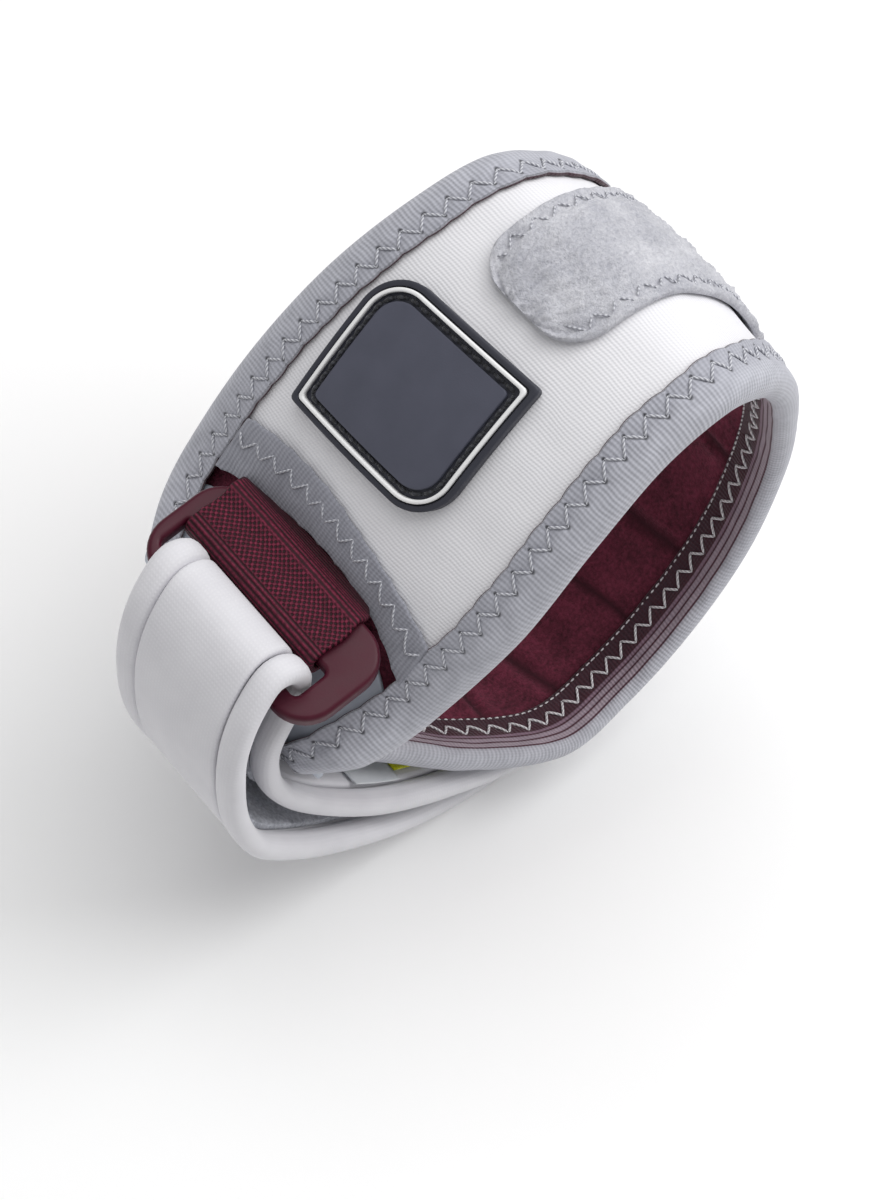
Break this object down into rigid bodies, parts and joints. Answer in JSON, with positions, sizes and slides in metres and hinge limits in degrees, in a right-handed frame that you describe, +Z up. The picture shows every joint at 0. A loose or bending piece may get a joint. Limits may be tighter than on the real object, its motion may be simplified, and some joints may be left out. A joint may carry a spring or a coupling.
{
  "type": "tennis elbow strap",
  "caption": "Padded forearm cuff with taped rims, a soft lining, a burgundy buckle and a foam closure strap doubled through it.",
  "frame": {"origin": "bottom centre of the bounding box, on the surface that the strap rests on", "axes": "+X across the forearm, away from the buckle; +Y along the forearm, from the near rim to the far rim; +Z up"},
  "size_m": [0.124, 0.069, 0.1142],
  "materials": {
    "shell_knit": "white ribbed knit on foam",
    "lining_fleece": "burgundy brushed fleece",
    "edge_tape": "light grey ribbed elastic tape",
    "plate_plastic": "smooth blue-grey plastic",
    "webbing": "burgundy woven elastic",
    "buckle_plastic": "satin burgundy plastic",
    "strap_knit": "smooth white knit on foam",
    "pile_felt": "grey brushed pile",
    "loop_pile": "light grey brushed loops",
    "hook_plastic": "fine moulded hooks",
    "badge_rubber": "dark matte rubber",
    "badge_line": "white matte rubber",
    "badge_face": "slate blue matte rubber",
    "tab_ribbon": "lime woven ribbon",
    "film": "pale translucent film"
  },
  "bodies": {
    "root": {"cuff_shell": "shell_knit", "cuff_lining": "lining_fleece", "near_rim_binding": "edge_tape", "far_rim_binding": "edge_tape", "window_binding": "edge_tape", "stiffener_plate": "plate_plastic", "webbing_tab": "webbing", "buckle": "buckle_plastic", "strap_core": "strap_knit", "strap_hem_near": "strap_knit", "strap_hem_far": "strap_knit", "strap_pile": "pile_felt", "loop_patch": "loop_pile", "hook_tab": "hook_plastic", "badge_base": "badge_rubber", "badge_border": "badge_line", "badge_panel": "badge_face", "pull_tab": "tab_ribbon", "tab_film": "film"}
  },
  "joints": []
}
